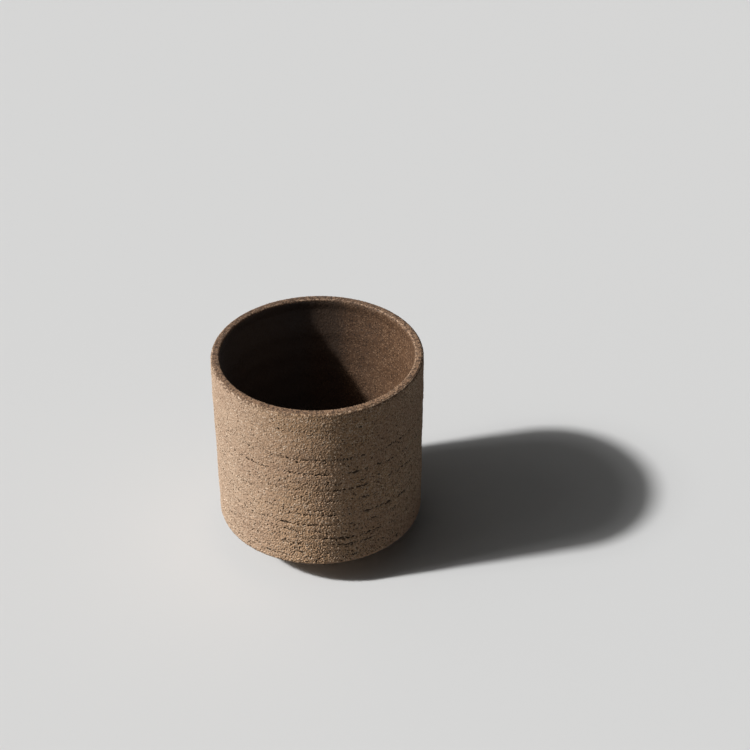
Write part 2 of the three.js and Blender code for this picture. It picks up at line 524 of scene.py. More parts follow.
class Graph:
    """Short calls for the nodes of one tree."""

    def __init__(self, tree: bpy.types.NodeTree) -> None:
        """Keeps the tree that the nodes go into."""
        self.tree = tree

    def feed(self, node: bpy.types.Node, inputs: dict[str | int, object]) -> None:
        """Sets the inputs of a node.

        Args:
            node: The node.
            inputs: Values, or sockets to link from, by input name or place. A colour has no alpha.
        """
        for name, value in inputs.items():
            socket = node.inputs[name]
            if isinstance(value, bpy.types.NodeSocket):
                self.tree.links.new(value, socket)
            elif socket.type == "RGBA":
                socket.default_value = (*value, 1.0)
            else:
                socket.default_value = value

    def add(
        self, kind: str, inputs: dict[str | int, object] | None = None, **settings: object
    ) -> bpy.types.Node:
        """Adds a node.

        Args:
            kind: Type name of the node.
            inputs: Values, or sockets to link from, by input name or place.
            settings: Properties of the node.

        Returns:
            The node.
        """
        node = self.tree.nodes.new(kind)
        for name, value in settings.items():
            setattr(node, name, value)
        self.feed(node, inputs or {})
        return node

    def maths(self, operation: str, first: object, second: object = 0.0) -> bpy.types.NodeSocket:
        """One step of arithmetic."""
        return self.add("ShaderNodeMath", {0: first, 1: second}, operation=operation).outputs[0]

    def total(self, *parts: object) -> bpy.types.NodeSocket:
        """The sum of the parts."""
        return reduce(partial(self.maths, "ADD"), parts)

    def product(self, *parts: object) -> bpy.types.NodeSocket:
        """The product of the parts."""
        return reduce(partial(self.maths, "MULTIPLY"), parts)

    def less(self, first: object, second: object) -> bpy.types.NodeSocket:
        """The first, less the second."""
        return self.maths("SUBTRACT", first, second)

    def ramp(self, value: object, fade: Fade) -> bpy.types.NodeSocket:
        """The level of a fade at this value."""
        inputs = {"Value": value, "From Min": fade.start, "From Max": fade.end}
        inputs |= {"To Min": fade.before, "To Max": fade.after}
        return self.add("ShaderNodeMapRange", inputs, interpolation_type="SMOOTHSTEP").outputs["Result"]

    def mix(self, share: object, first: object, second: object) -> bpy.types.NodeSocket:
        """A mix of two colours."""
        return self.add("ShaderNodeMix", {0: share, 6: first, 7: second}, data_type="RGBA").outputs[2]

    def place(self, per_mm: object) -> bpy.types.NodeSocket:
        """The point on the piece, in units of this many to a millimetre."""
        here = self.add("ShaderNodeTexCoord").outputs["Object"]
        scale = self.maths("DIVIDE", per_mm, MM)
        return self.add("ShaderNodeVectorMath", {0: here, "Scale": scale}, operation="SCALE").outputs[0]

    def axes(self, place: bpy.types.NodeSocket) -> Sequence[bpy.types.NodeSocket]:
        """The three parts of a place: to the right, away from the viewer and up."""
        return self.add("ShaderNodeSeparateXYZ", {0: place}).outputs

    def noise(self, per_mm: float, detail: float) -> bpy.types.NodeSocket:
        """Plain noise on the piece, this many grains to a millimetre."""
        inputs = {"Vector": self.place(per_mm), "Scale": 1.0, "Detail": detail}
        return self.add("ShaderNodeTexNoise", inputs).outputs[0]

    def patches(self, patches: Patches) -> bpy.types.NodeSocket:
        """Soft patches of noise on the piece."""
        return self.ramp(self.noise(patches.per_mm, patches.detail), patches.fade)

    def group(self, tree: bpy.types.NodeTree, inputs: dict[str | int, object]) -> bpy.types.Node:
        """Places a shared group."""
        return self.add("ShaderNodeGroup", inputs, node_tree=tree)

    def attribute(self, name: str) -> bpy.types.NodeSocket:
        """A number that the mesh carries at each vertex."""
        return self.add("ShaderNodeAttribute", attribute_name=name).outputs["Fac"]

    def bump(self, height: bpy.types.NodeSocket) -> bpy.types.NodeSocket:
        """The normal of a surface with this relief, in metres."""
        inputs = {"Height": height, "Distance": 1.0, "Strength": 1.0}
        return self.add("ShaderNodeBump", inputs).outputs["Normal"]


def new_material(name: str) -> tuple[bpy.types.Material, Graph, bpy.types.Node]:
    """An empty material, a graph for its nodes, and its shader."""
    material = bpy.data.materials.new(name)
    material.use_nodes = True
    return material, Graph(material.node_tree), material.node_tree.nodes["Principled BSDF"]


@dataclass
class Effects:
    """Shader groups that more than one finish uses. Each is built once.

    The fades of a grain and of the gap round it are by distance from the grain's middle, in grains.
    """

    grain: Fade = Fade(0.35, 0.5, 1.0, 0.0)
    gap: Fade = Fade(0.42, 0.82)
    gap_depth: float = 2.0
    broad_tone: Patches = Patches(0.035, 2.0, Fade(0.35, 0.68, 0.0, 0.65))
    patchy_tone: Patches = Patches(0.2, 1.0, Fade(0.35, 0.7, 0.0, 0.35))
    line_slant: float = 0.7
    line_detail: float = 3.0

    def __post_init__(self) -> None:
        """Builds the groups."""
        self.speckle = self._speckle()
        self.kiln = self._kiln()
        self.turning = self._turning()

    @staticmethod
    def _group(
        name: str, takes: dict[str, str], gives: dict[str, str]
    ) -> tuple[Graph, bpy.types.Node, bpy.types.Node]:
        """An empty group with its named sockets."""
        tree = bpy.data.node_groups.new(name, "ShaderNodeTree")
        for socket, kind in takes.items():
            tree.interface.new_socket(socket, in_out="INPUT", socket_type=kind)
        for socket, kind in gives.items():
            tree.interface.new_socket(socket, in_out="OUTPUT", socket_type=kind)
        graph = Graph(tree)
        return graph, graph.add("NodeGroupInput"), graph.add("NodeGroupOutput")

    def _speckle(self) -> bpy.types.NodeTree:
        """Pale and dark grains of grit, each a rounded cell with painted shade in the gap round it, and
        their height.
        """
        takes = dict.fromkeys(("Clay", "Pale Grit", "Dark Grit"), COLOUR)
        takes |= dict.fromkeys(("Per Millimetre", "Pale Share", "Dark Share", "Gap Shade Share"), NUMBER)
        graph, come, go = self._group("grit_speckle", takes, {"Color": COLOUR, "Height": NUMBER})
        given = come.outputs
        place = graph.place(given["Per Millimetre"])
        cells = graph.add("ShaderNodeTexVoronoi", {"Vector": place, "Scale": 1.0})
        lot = graph.add("ShaderNodeSeparateColor", {0: cells.outputs["Color"]}).outputs[0]
        grain = graph.ramp(cells.outputs["Distance"], self.grain)
        is_pale = graph.maths("GREATER_THAN", lot, graph.less(1.0, given["Pale Share"]))
        is_dark = graph.maths("LESS_THAN", lot, given["Dark Share"])
        pale = graph.product(grain, is_pale)
        dark = graph.product(grain, is_dark)
        # Painted shade: the gap round each grain is darkened towards the dark grit.
        gap_shade = graph.product(graph.ramp(cells.outputs["Distance"], self.gap), given["Gap Shade Share"])
        toned = graph.mix(gap_shade, given["Clay"], given["Dark Grit"])
        toned = graph.mix(pale, toned, given["Pale Grit"])
        toned = graph.mix(dark, toned, given["Dark Grit"])
        rise = graph.less(graph.less(pale, dark), graph.product(gap_shade, self.gap_depth))
        graph.feed(go, {"Color": toned, "Height": rise})
        return graph.tree

    def _kiln(self) -> bpy.types.NodeTree:
        """Slow drifts of tone that the kiln's flame leaves on clay and glaze."""
        takes = {"Color": COLOUR, "Toasted": COLOUR, "Amount": NUMBER}
        graph, come, go = self._group("kiln_tone", takes, {"Color": COLOUR})
        drift = graph.total(graph.patches(self.broad_tone), graph.patches(self.patchy_tone))
        share = graph.product(drift, come.outputs["Amount"])
        graph.feed(go, {"Color": graph.mix(share, come.outputs["Color"], come.outputs["Toasted"])})
        return graph.tree

    def _turning(self) -> bpy.types.NodeTree:
        """Fine lines that a turning tool leaves round the axis."""
        graph, come, go = self._group("turning_lines", {"Lines Per Millimetre": NUMBER}, {"Height": NUMBER})
        across, away, up = graph.axes(graph.add("ShaderNodeTexCoord").outputs["Object"])
        flat = graph.add("ShaderNodeCombineXYZ", {0: across, 1: away}).outputs[0]
        radius = graph.add("ShaderNodeVectorMath", {0: flat}, operation="LENGTH").outputs["Value"]
        slant = graph.total(radius, graph.product(up, self.line_slant))
        counted = graph.product(slant, graph.maths("DIVIDE", come.outputs["Lines Per Millimetre"], MM))
        inputs = {"W": counted, "Scale": 1.0, "Detail": self.line_detail}
        lines = graph.add("ShaderNodeTexNoise", inputs, noise_dimensions="1D")
        graph.feed(go, {"Height": lines.outputs[0]})
        return graph.tree


@dataclass(frozen=True)
class Speckle:
    """A look of grit: its two colours, how many grains to a millimetre, and how much there is of each."""

    pale: Colour
    dark: Colour
    per_mm: float
    pale_share: float
    dark_share: float
    # Share of painted shade in the gaps round the grains.
    gap_shade_share: float

    def place(
        self, graph: Graph, effects: Effects, clay: bpy.types.NodeSocket, more: object = None
    ) -> bpy.types.Node:
        """Places the shared speckle in a material.

        Args:
            graph: Graph of the material.
            effects: The shared shader groups.
            clay: Colour between the grains.
            more: How many times the grit there is, where that changes over the piece.

        Returns:
            The group's node.
        """
        shares = {"Pale Share": self.pale_share, "Dark Share": self.dark_share}
        if more is not None:
            shares = {name: graph.product(more, share) for name, share in shares.items()}
        looks = {"Clay": clay, "Pale Grit": self.pale, "Dark Grit": self.dark}
        counts = {"Per Millimetre": self.per_mm, "Gap Shade Share": self.gap_shade_share}
        return graph.group(effects.speckle, looks | counts | shares)


@dataclass(frozen=True)
class ClayFinish:
    """Bare fired clay, paler low down for painted light from the floor's bounce, with a pale painted sheen
    towards both sides, and grittier and redder on the right.

    Its sides are by place from left to right, and its margin, edges and waver by height, in millimetres.
    """

    name: str
    clay: Colour
    # bounce_lit_clay is painted light: the floor's bounce on the lower wall, which makes the clay paler
    # there.
    bounce_lit_clay: Colour
    # sheen_clay is a painted sheen: paler and greyer towards both sides, where the wall turns from view.
    sheen_clay: Colour
    toasted: Colour
    # hollow is the colour of painted shade in pits and in low places of the grit.
    hollow: Colour
    lip_stain: Colour
    grit: Speckle
    fine_grit_per_mm: float
    roughness: Patches
    bump_height: float
    line_height: float
    turned_below: float
    stain_above: float
    low_margin: float = 6.0
    # Where the painted sheen fades in on each side, by place from left to right.
    left_sheen: Fade = Fade(-2.0, -38.0)
    right_sheen: Fade = Fade(10.0, 46.0)
    gritty_side: Fade = Fade(-2.0, 9.0, 1.0, 1.9)
    redder_side: Fade = Fade(8.0, 34.0, 0.5, 1.0)
    # The painted gap shade of the finer grit, as a share of that of the coarse grit.
    fine_gap_shade: float = 0.5
    grit_tops: Fade = Fade(0.25, 0.85)
    paleness_of_tops: float = 0.5
    pit_shade: Fade = Fade(0.14, 0.66, 0.0, 0.9)
    stain_waver: Patches = Patches(1.3, 3.0, Fade(0.34, 0.66, -1.0, 1.3))
    stain_edge: Fade = Fade(-0.35, 0.35, 0.0, 0.85)
    stain_off_tops: float = 0.2
    lines_per_mm: float = 2.2
    turned_edge: Fade = Fade(0.6, -0.6)
    grains_per_mm: float = 3.2
    grain_detail: float = 1.0
    speckle_rise: float = 0.4
    gloss: float = 0.12

    def build(self, effects: Effects) -> bpy.types.Material:
        """Makes the material.

        Args:
            effects: The shared shader groups.

        Returns:
            The material.
        """
        material, graph, shader = new_material(self.name)
        across, _, height = graph.axes(graph.place(1.0))
        stain_height = self.stain_above / MM
        turned_height = self.turned_below / MM
        # Painted light: the clay grows paler down the wall, for light bounced up from the floor.
        bounce_share = graph.ramp(height, Fade(stain_height - self.low_margin, turned_height + self.low_margin))
        left, right = graph.ramp(across, self.left_sheen), graph.ramp(across, self.right_sheen)
        ground = graph.mix(bounce_share, self.clay, self.bounce_lit_clay)
        # Painted sheen: paler and greyer clay towards both sides.
        ground = graph.mix(graph.maths("MAXIMUM", left, right), ground, self.sheen_clay)
        grittier = graph.ramp(across, self.gritty_side)
        coarse = self.grit.place(graph, effects, ground, grittier)
        fine_gap_shade = self.fine_gap_shade * self.grit.gap_shade_share
        fine_grit = replace(self.grit, per_mm=self.fine_grit_per_mm, gap_shade_share=fine_gap_shade)
        fine = fine_grit.place(graph, effects, coarse.outputs["Color"], grittier)
        # More of the toasted tone towards the right side, so the clay is redder there.
        amount = graph.ramp(across, self.redder_side)
        kiln_inputs = {"Color": fine.outputs["Color"], "Toasted": self.toasted, "Amount": amount}
        fired = graph.group(effects.kiln, kiln_inputs).outputs["Color"]
        tops = graph.ramp(graph.attribute("pale_grit"), self.grit_tops)
        paler = graph.mix(graph.product(tops, self.paleness_of_tops), fired, self.grit.pale)
        # Painted shade in pits and in low places of the grit.
        pitted = graph.mix(graph.ramp(graph.attribute("pit"), self.pit_shade), paler, self.hollow)
        ragged = graph.total(height, graph.patches(self.stain_waver))
        stain = graph.ramp(ragged, self.stain_edge.moved(stain_height))
        off_tops = graph.less(1.0, graph.product(tops, self.stain_off_tops))
        stained = graph.mix(graph.product(stain, off_tops), pitted, self.lip_stain)
        turning = graph.group(effects.turning, {"Lines Per Millimetre": self.lines_per_mm})
        turned = graph.ramp(height, self.turned_edge.moved(turned_height))
        lines = graph.product(turning.outputs["Height"], turned, self.line_height)
        speckle = graph.total(coarse.outputs["Height"], fine.outputs["Height"])
        grains = graph.noise(self.grains_per_mm, self.grain_detail)
        grains = graph.total(grains, graph.product(speckle, self.speckle_rise))
        relief = graph.total(graph.product(grains, self.bump_height), lines)
        graph.feed(shader, {
            "Base Color": stained,
            "Roughness": graph.patches(self.roughness),
            "Normal": graph.bump(relief),
            "Specular IOR Level": self.gloss,
        })
        return material


@dataclass(frozen=True)
class GlazeFinish:
    """A thin dark glaze over grit, thinner and paler on the lip, and darkened towards the left by painted
    shade where the cup's own shadow falls inside.

    Its sides are by place from left to right, and its edge and waver by height, in millimetres.
    """

    name: str
    # thickest and thick are colours of painted shade: the dark of the shadow that the cup casts inside, and
    # its soft edge.
    shadow_shade: Colour
    penumbra_shade: Colour
    deep: Colour
    warm: Colour
    thin: Colour
    thinnest: Colour
    blotch: Colour
    # Pale clay where glaze rubs off grit tops, and the pale line on the lip's inner edge, which is partly a
    # painted highlight.
    wear_and_highlight: Colour
    specks: Speckle
    roughness: Patches
    thin_above: float
    edge_waver: Patches = Patches(2.2, 3.0, Fade(0.25, 0.75, -0.3, 0.3))
    thin_edge: Fade = Fade(-0.5, 0.3)
    warm_amount: float = 0.8
    lip_slant: float = 0.5
    bright_lip: Fade = Fade(-37.0, 20.0)
    # Painted shade: where the shadow inside and its soft edge fall, by place from left to right.
    shade_edges: tuple[Fade, ...] = (
        Fade(14.0, 7.0, 0.0, 0.4),
        Fade(34.0, 14.0, 0.0, 0.4),
        Fade(4.0, -8.0, 0.0, 0.2),
    )
    shadow_side: Fade = Fade(2.0, -10.0)
    blotches: Patches = Patches(0.9, 1.0, Fade(0.5, 0.62, 0.0, 0.75))
    dryness: float = 0.3
    ripples_per_mm: float = 1.8
    ripple_detail: float = 2.0
    speck_rise: float = 0.15
    bump_height: float = 0.09 * MM
    gloss: float = 0.42

    def build(self, effects: Effects) -> bpy.types.Material:
        """Makes the material.

        Args:
            effects: The shared shader groups.

        Returns:
            The material.
        """
        material, graph, shader = new_material(self.name)
        across, away, height = graph.axes(graph.place(1.0))
        ragged = graph.total(height, graph.patches(self.edge_waver))
        thinness = graph.ramp(ragged, self.thin_edge.moved(self.thin_above / MM))
        kiln_inputs = {"Color": self.deep, "Toasted": self.warm, "Amount": self.warm_amount}
        fired = graph.group(effects.kiln, kiln_inputs).outputs["Color"]
        bright_side = graph.less(graph.product(across, self.lip_slant), away)
        lip_colour = graph.mix(graph.ramp(bright_side, self.bright_lip), self.thin, self.thinnest)
        thinned = graph.mix(thinness, fired, lip_colour)
        # Rubbed glaze, and the pale inner-edge line that is partly a painted highlight.
        wear_and_highlight = graph.mix(graph.attribute("wear_and_highlight"), thinned, self.wear_and_highlight)
        specks = self.specks.place(graph, effects, wear_and_highlight)
        # Painted shade: the glaze below the lip darkens towards the left, where the cup's own shadow falls
        # inside.
        thickness = graph.total(*(graph.ramp(across, side) for side in self.shade_edges))
        shade_colour = graph.mix(graph.ramp(across, self.shadow_side), self.penumbra_shade, self.shadow_shade)
        below_lip = graph.less(1.0, thinness)
        shaded = graph.mix(graph.product(thickness, below_lip), specks.outputs["Color"], shade_colour)
        blotches = graph.product(graph.patches(self.blotches), thinness)
        ripple = graph.noise(self.ripples_per_mm, self.ripple_detail)
        relief = graph.total(ripple, graph.product(specks.outputs["Height"], self.speck_rise))
        graph.feed(shader, {
            "Base Color": graph.mix(blotches, shaded, self.blotch),
            "Roughness": graph.total(graph.patches(self.roughness), graph.product(thinness, self.dryness)),
            "Normal": graph.bump(graph.product(relief, self.bump_height)),
            "Specular IOR Level": self.gloss,
        })
        return material


@dataclass(frozen=True)
class Drift:
    """Noise round the cup: its reach, and the levels that it fades between."""

    reach: float
    fade: Fade

    def draw(self, sheet: ReliefSheet) -> np.ndarray:
        """Draws one value for each column."""
        return self.fade.at(sheet.line_noise(self.reach))


@dataclass(frozen=True)
class Tear:
    """A row of tears that grit left in the wall, at one pass of the turning tool.

    Its dashes are stretches of long tears, in degrees round the cup from the front to the right.
    """

    drop: float
    strength: float
    lean: float = 0.0
    dashes: tuple[tuple[float, float], ...] = ()
    dash_end: float = 1.0

    def dashed(self, turn: np.ndarray) -> np.ndarray:
        """How far each place round the cup lies in a dash, from 0 to 1."""
        share = np.zeros(len(turn))
        for first, last in self.dashes:
            start = Fade(first - self.dash_end, first + self.dash_end)
            end = Fade(last + self.dash_end, last - self.dash_end)
            share += start.at(turn) * end.at(turn)
        return share


@dataclass(frozen=True)
class TornRows:
    """All rows of tears, as strings of small pits that run together in the dashes.

    Drops are below the crown, and reaches are along the outline and round the cup. No tear lies in the plain
    stretch below the lip, and the tears are fewer round the calm turn, in degrees.
    """

    tears: tuple[Tear, ...] = (
        Tear(8.2 * MM, 0.2, 0.3 * MM, ((21.0, 26.0),)),
        Tear(21.0 * MM, 0.9, 1.0 * MM, ((-9.0, -5.0), (3.0, 26.0), (38.0, 44.0))),
        Tear(27.5 * MM, 0.9, 1.3 * MM, ((-45.0, -41.0), (-18.0, 6.0), (14.0, 27.0), (33.0, 44.0))),
        Tear(32.1 * MM, 0.4, 1.5 * MM, ((20.0, 25.0),)),
        Tear(35.1 * MM, 0.75, 1.0 * MM, ((7.0, 13.0), (20.0, 26.0), (50.0, 56.0))),
        Tear(40.1 * MM, 0.55, 2.2 * MM, ((20.0, 31.0),)),
        Tear(44.5 * MM, 0.5, 0.8 * MM, ((-4.0, 2.0),)),
        Tear(46.8 * MM, 0.9, 2.0 * MM, ((-13.0, 8.0), (20.0, 44.0), (50.0, 56.0))),
        Tear(51.5 * MM, 0.9, 1.5 * MM, ((-22.0, -3.0), (14.0, 32.0), (38.0, 44.0))),
        Tear(54.8 * MM, 0.6, 1.8 * MM, ((-22.0, -16.0), (-4.0, 2.0), (20.0, 26.0))),
        Tear(57.9 * MM, 0.8, 1.0 * MM, ((2.0, 8.0), (9.0, 20.0), (26.0, 31.0), (38.0, 44.0))),
        Tear(61.2 * MM, 0.7, 1.2 * MM, ((-22.0, -10.0), (8.0, 19.0), (26.0, 32.0))),
        Tear(64.6 * MM, 0.45, 0.3 * MM),
        Tear(66.9 * MM, 0.5, 0.0, ((-46.0, -22.0), (15.0, 19.0))),
    )
    plain_below_lip: float = 3.0 * MM
    waver: float = 0.12 * MM
    waver_reach: float = 5.0 * MM
    clusters: Drift = Drift(9.0 * MM, Fade(-0.9, 0.9))
    strings: Drift = Drift(1.3 * MM, Fade(1.2, 1.7))
    crumbs: Drift = Drift(0.5 * MM, Fade(-0.5, 0.9))
    dash_fullness: float = 0.8
    least_chance: float = 0.12
    cluster_chance: float = 0.32
    dash_chance: float = 0.34
    least_crumbs: float = 0.3
    gash_chance: float = 0.1
    stray: float = 0.32 * MM
    less_stray_in_dash: float = 0.12 * MM
    least_pit: float = 0.45
    most_pit: float = 1.5
    calm_turn: float = -60.0
    calm_reach: float = 30.0
    calmness: float = 0.55
    row_trough: float = 0.5
    dash_trough: float = 0.35
    least_depth: float = 0.5
    trough_width: float = 0.75 * MM
    pit_reach: tuple[float, float] = (0.29 * MM, 0.38 * MM)
    gash_reach: tuple[float, float] = (0.38 * MM, 0.6 * MM)
    rim_reach: tuple[float, float] = (0.6 * MM, 0.75 * MM)

    def draw(
        self, sheet: ReliefSheet, drop: np.ndarray, turn: np.ndarray
    ) -> tuple[np.ndarray, np.ndarray, np.ndarray]:
        """Draws the rows.

        Args:
            sheet: The sheet of the wall.
            drop: Drop of each row of the sheet below the crown.
            turn: Angle of each column in degrees.

        Returns:
            The pits of the tears, the shallow troughs that they lie in, and the rims round the pits.
        """
        marks, gashes, trough = np.zeros((3, *sheet.shape))
        too_high = np.where(drop > self.plain_below_lip, 0.0, 1.0)
        calm = 1.0 - self.calmness * np.exp(-(((turn - self.calm_turn) / self.calm_reach) ** 2))
        for tear in self.tears:
            path = tear.drop + tear.lean * np.sin(np.radians(turn))
            path = path + self.waver * sheet.line_noise(self.waver_reach)
            clusters = self.clusters.draw(sheet)
            strings = self.strings.draw(sheet) * clusters
            dash = np.clip(tear.strength * strings + self.dash_fullness * tear.dashed(turn), 0.0, 1.0)
            crumbs = self.crumbs.draw(sheet)
            loose = tear.strength * (self.least_chance + self.cluster_chance * clusters)
            chance = (loose + self.dash_chance * dash) * (self.least_crumbs + crumbs) * calm
            stray = self.stray - self.less_stray_in_dash * dash
            place = path + stray * sheet.random.standard_normal(len(turn))
            gash_chance = self.gash_chance * tear.strength * dash * calm
            for struck, odds in ((marks, chance), (gashes, gash_chance)):
                for column in np.flatnonzero(sheet.random.random(len(turn)) < odds):
                    row = int(np.argmin(np.abs(drop - place[column]) + too_high))
                    struck[row, column] += sheet.random.uniform(self.least_pit, 1.0)
            depth = self.row_trough * tear.strength + self.dash_trough * dash * (self.least_depth + crumbs)
            trough += depth * np.exp(-(((drop[:, None] - path) / self.trough_width) ** 2))
        pits = sheet.spread(marks, *self.pit_reach, FULL_CAP)
        pits += sheet.spread(gashes, *self.gash_reach, FULL_CAP)
        rims = sheet.spread(marks + gashes, *self.rim_reach, PLAIN_CAP)
        return np.clip(pits, 0.0, self.most_pit), trough, np.clip(rims, 0.0, 1.0)


@dataclass
class ThrownBody:
    """The thrown and turned body: recess, underside, lower edge, outer wall, lip and hidden bed.

    Its fades are by the drop below the crown. But lower_edge and glaze_edge are by radius from that edge,
    rough_side is in degrees from the front to the right, cavities is by depth and marks painted shade, and
    seat_rows is in rows.
    Each swell is a drop and the outward slope there.
    """

    sizes: CupSizes
    columns: int = 1280
    step: float = 0.2 * MM
    seed: int = 7
    grit: Grit = Grit()
    torn_rows: TornRows = TornRows()
    recess_step: float = 0.5 * MM
    bed_step: float = 4.0 * MM
    arc_steps: int = 12
    dome_steps: int = 24
    lap_under_glaze: float = 0.8 * MM
    bed_gap: float = 0.9 * MM
    bed_lip_fall: float = 0.6 * MM
    bed_wall_drop: float = 4.5 * MM
    lower_edge: Fade = Fade(-2.2 * MM, -1.2 * MM)
    low_band: Fade = Fade(48.0 * MM, 64.0 * MM)
    lip_coarseness: Fade = Fade(0.5 * MM, 2.2 * MM, 0.4, 0.85)
    wall_coarseness: Fade = Fade(10.0 * MM, 22.0 * MM, 0.0, 0.2)
    low_coarseness: float = 0.35
    rough_side: tuple[Fade, Fade] = (Fade(0.0, 14.0), Fade(110.0, 80.0))
    pit_density: Fade = Fade(12.0 * MM, 30.0 * MM, 0.04, 0.12)
    low_pit_density: float = 0.26
    rough_pit_density: Fade = Fade(4.0 * MM, 16.0 * MM, 0.0, 0.12)
    large_pit_share: float = 0.12
    small_pit_reach: tuple[float, float] = (0.28 * MM, 0.33 * MM)
    large_pit_reach: tuple[float, float] = (0.4 * MM, 0.55 * MM)
    pits_below_lip: Fade = Fade(0.4 * MM, 1.5 * MM)
    pit_depth: float = 0.4 * MM
    most_pit: float = 1.5
    # Low places of the grit, which the finish darkens as painted shade.
    cavity_shade: Fade = Fade(0.01 * MM, 0.07 * MM, 0.0, 0.35)
    trough_depth: float = 0.18 * MM
    rim_rise: float = 0.4
    rim_paleness: float = 0.7
    ring_height: float = 0.05 * MM
    ring_reach: float = 0.35 * MM
    turned_grit: float = 0.45
    ceiling: Fade = Fade(18.0 * MM, 40.0 * MM, 1.0, 2.0)
    seat_rows: Fade = Fade(0.0, 4.0)
    glaze_edge: Fade = Fade(-0.6 * MM, -0.1 * MM)
    sunk_depth: float = 0.12 * MM
    sunk_reach: float = 2.0 * MM
    swell_samples: int = 721
    swells: tuple[tuple[float, float], ...] = (
        (0.0, 0.0),
        (3.0 * MM, 0.03),
        (7.0 * MM, -0.03),
        (14.0 * MM, 0.03),
        (20.0 * MM, -0.035),
        (25.0 * MM, 0.02),
        (35.0 * MM, -0.02),
        (47.0 * MM, 0.03),
        (60.0 * MM, -0.03),
        (66.0 * MM, 0.03),
        (72.0 * MM, 0.0),
    )

    def recess(self) -> np.ndarray:
        """Rows from the middle of the underside to the foot's seat."""
        s = self.sizes
        radius = (s.seat_inner_radius**2 + s.recess_dome**2) / (2.0 * s.recess_dome)
        spread = math.degrees(math.asin(s.seat_inner_radius / radius))
        centre = (0.0, s.seat_height + s.recess_dome - radius)
        dome = arc(centre, radius, 90.0, 90.0 - spread, self.dome_steps)
        return even_rows([*dome, (s.seat_outer_radius, s.seat_height)], self.recess_step)[1:]

    def band(self) -> np.ndarray:
        """Rows of the visible band, from the foot's seat round the lower edge and up over the lip."""
        s = self.sizes
        widest = s.rim_radius - s.headroom
        edge = (s.base_radius - s.lower_edge_rounding, s.stand_height + s.lower_edge_rounding)
        slope = math.degrees(math.atan2(s.stand_height - s.seat_height, edge[0] - s.seat_outer_radius))
        share = (widest - s.base_radius) / (s.rim_radius - s.base_radius)
        bend = s.stand_height + share * (s.crown_height - s.stand_height)
        lip = (widest - s.lip_outer_rounding, s.clay_crown - s.lip_outer_rounding)
        corners = [
            (s.seat_outer_radius, s.seat_height),
            *arc(edge, s.lower_edge_rounding, slope - 90.0, 0.0, self.arc_steps),
            (widest, bend),
            *arc(lip, s.lip_outer_rounding, 0.0, 90.0, self.arc_steps),
            (s.glaze_edge_radius - self.lap_under_glaze, s.clay_crown),
        ]
        return even_rows(corners, self.step)

    def bed(self) -> np.ndarray:
        """Rows of the clay behind the glaze, down to the middle of the floor."""
        s = self.sizes
        gap = s.glaze_wall_thickness + self.bed_gap
        lap_radius = s.glaze_edge_radius - self.lap_under_glaze
        wall_top = s.crown_height - self.bed_wall_drop
        corners = [
            (lap_radius, s.clay_crown),
            (lap_radius, s.clay_crown - self.bed_lip_fall),
            (s.inner_radius(wall_top) + gap, wall_top),
            *arc(s.corner_centre, s.floor_corner_radius + gap, 0.0, -90.0, self.arc_steps),
            (0.0, s.floor_height - gap),
        ]
        return even_rows(corners, self.bed_step)

    def relief(self, band: np.ndarray) -> tuple[np.ndarray, np.ndarray, np.ndarray]:
        """Works out the grit, pits and tears of the visible band.

        Args:
            band: Radius and height of its rows.

        Returns:
            The relief, the painted shade from 0 to 1 in pits and in low places of the grit, and the share of
            pale grit.
        """
        s = self.sizes
        run = run_along(band)
        sheet = ReliefSheet(run[-1], self.columns, s.rim_radius, self.step, self.seed)
        places = np.arange(sheet.shape[0]) * self.step
        radius, height = (np.interp(places, run, band[:, axis])[:, None] for axis in (0, 1))
        drop = s.crown_height - height
        turn = (np.arange(self.columns) * 360.0 / self.columns + 180.0) % 360.0 - 180.0
        on_wall = self.lower_edge.moved(s.base_radius).at(radius)
        low = self.low_band.at(drop)
        rough = self.rough_side[0].at(turn) * self.rough_side[1].at(turn)
        grit, pale = self.grit.relief(sheet)
        single_pits = self._pits(sheet, drop, low, rough)
        torn_pits, trough, rims = self.torn_rows.draw(sheet, drop[:, 0], turn)
        pits = np.clip(single_pits + torn_pits, 0.0, self.most_pit) * on_wall * self.pits_below_lip.at(drop)
        rings = self.ring_height * sheet.line_noise(self.ring_reach, axis=0)[:, None]
        coarseness = self.lip_coarseness.at(drop) + self.wall_coarseness.at(drop) + self.low_coarseness * low
        wall = coarseness * grit + self._swell(drop) - self.trough_depth * (trough - self.rim_rise * rims)
        relief = on_wall * wall + (1.0 - on_wall) * (self.turned_grit * grit + rings)
        relief = np.minimum(relief, s.headroom * self.ceiling.at(drop)) - self.pit_depth * pits
        # From here on, pits also holds the low places of the grit, for painted shade in the finish.
        pits = np.maximum(pits, self.cavity_shade.at(-grit))
        pale = np.maximum(pale, self.rim_paleness * rough * rims)
        relief, pits, pale = (sheet.on_rows(part, band) for part in (relief, pits, pale))
        return self._seated(relief, band), np.clip(pits, 0.0, 1.0), pale

    def _seated(self, relief: np.ndarray, band: np.ndarray) -> np.ndarray:
        """The relief with its ends levelled, and sunk a little where the glaze covers the lip."""
        s = self.sizes
        seat = self.seat_rows.at(np.arange(len(band))[:, None])
        outside = self.glaze_edge.moved(s.glaze_edge_radius).at(band[:, :1])
        sunk = self.sunk_depth * (1.0 - outside) * (band[:, 1:] > s.clay_crown - self.sunk_reach)
        return relief * seat * outside - sunk

    def _swell(self, drop: np.ndarray) -> np.ndarray:
        """Slow swelling of the wall from the potter's hands, from its outward slopes."""
        places, slopes = np.array(self.swells).T
        fine = np.linspace(places[0], places[-1], self.swell_samples)
        reach = np.cumsum(np.interp(fine, places, slopes)) * (fine[1] - fine[0])
        upper_third = reach[: len(fine) // 3]
        return np.interp(drop, fine, reach - upper_third.max())

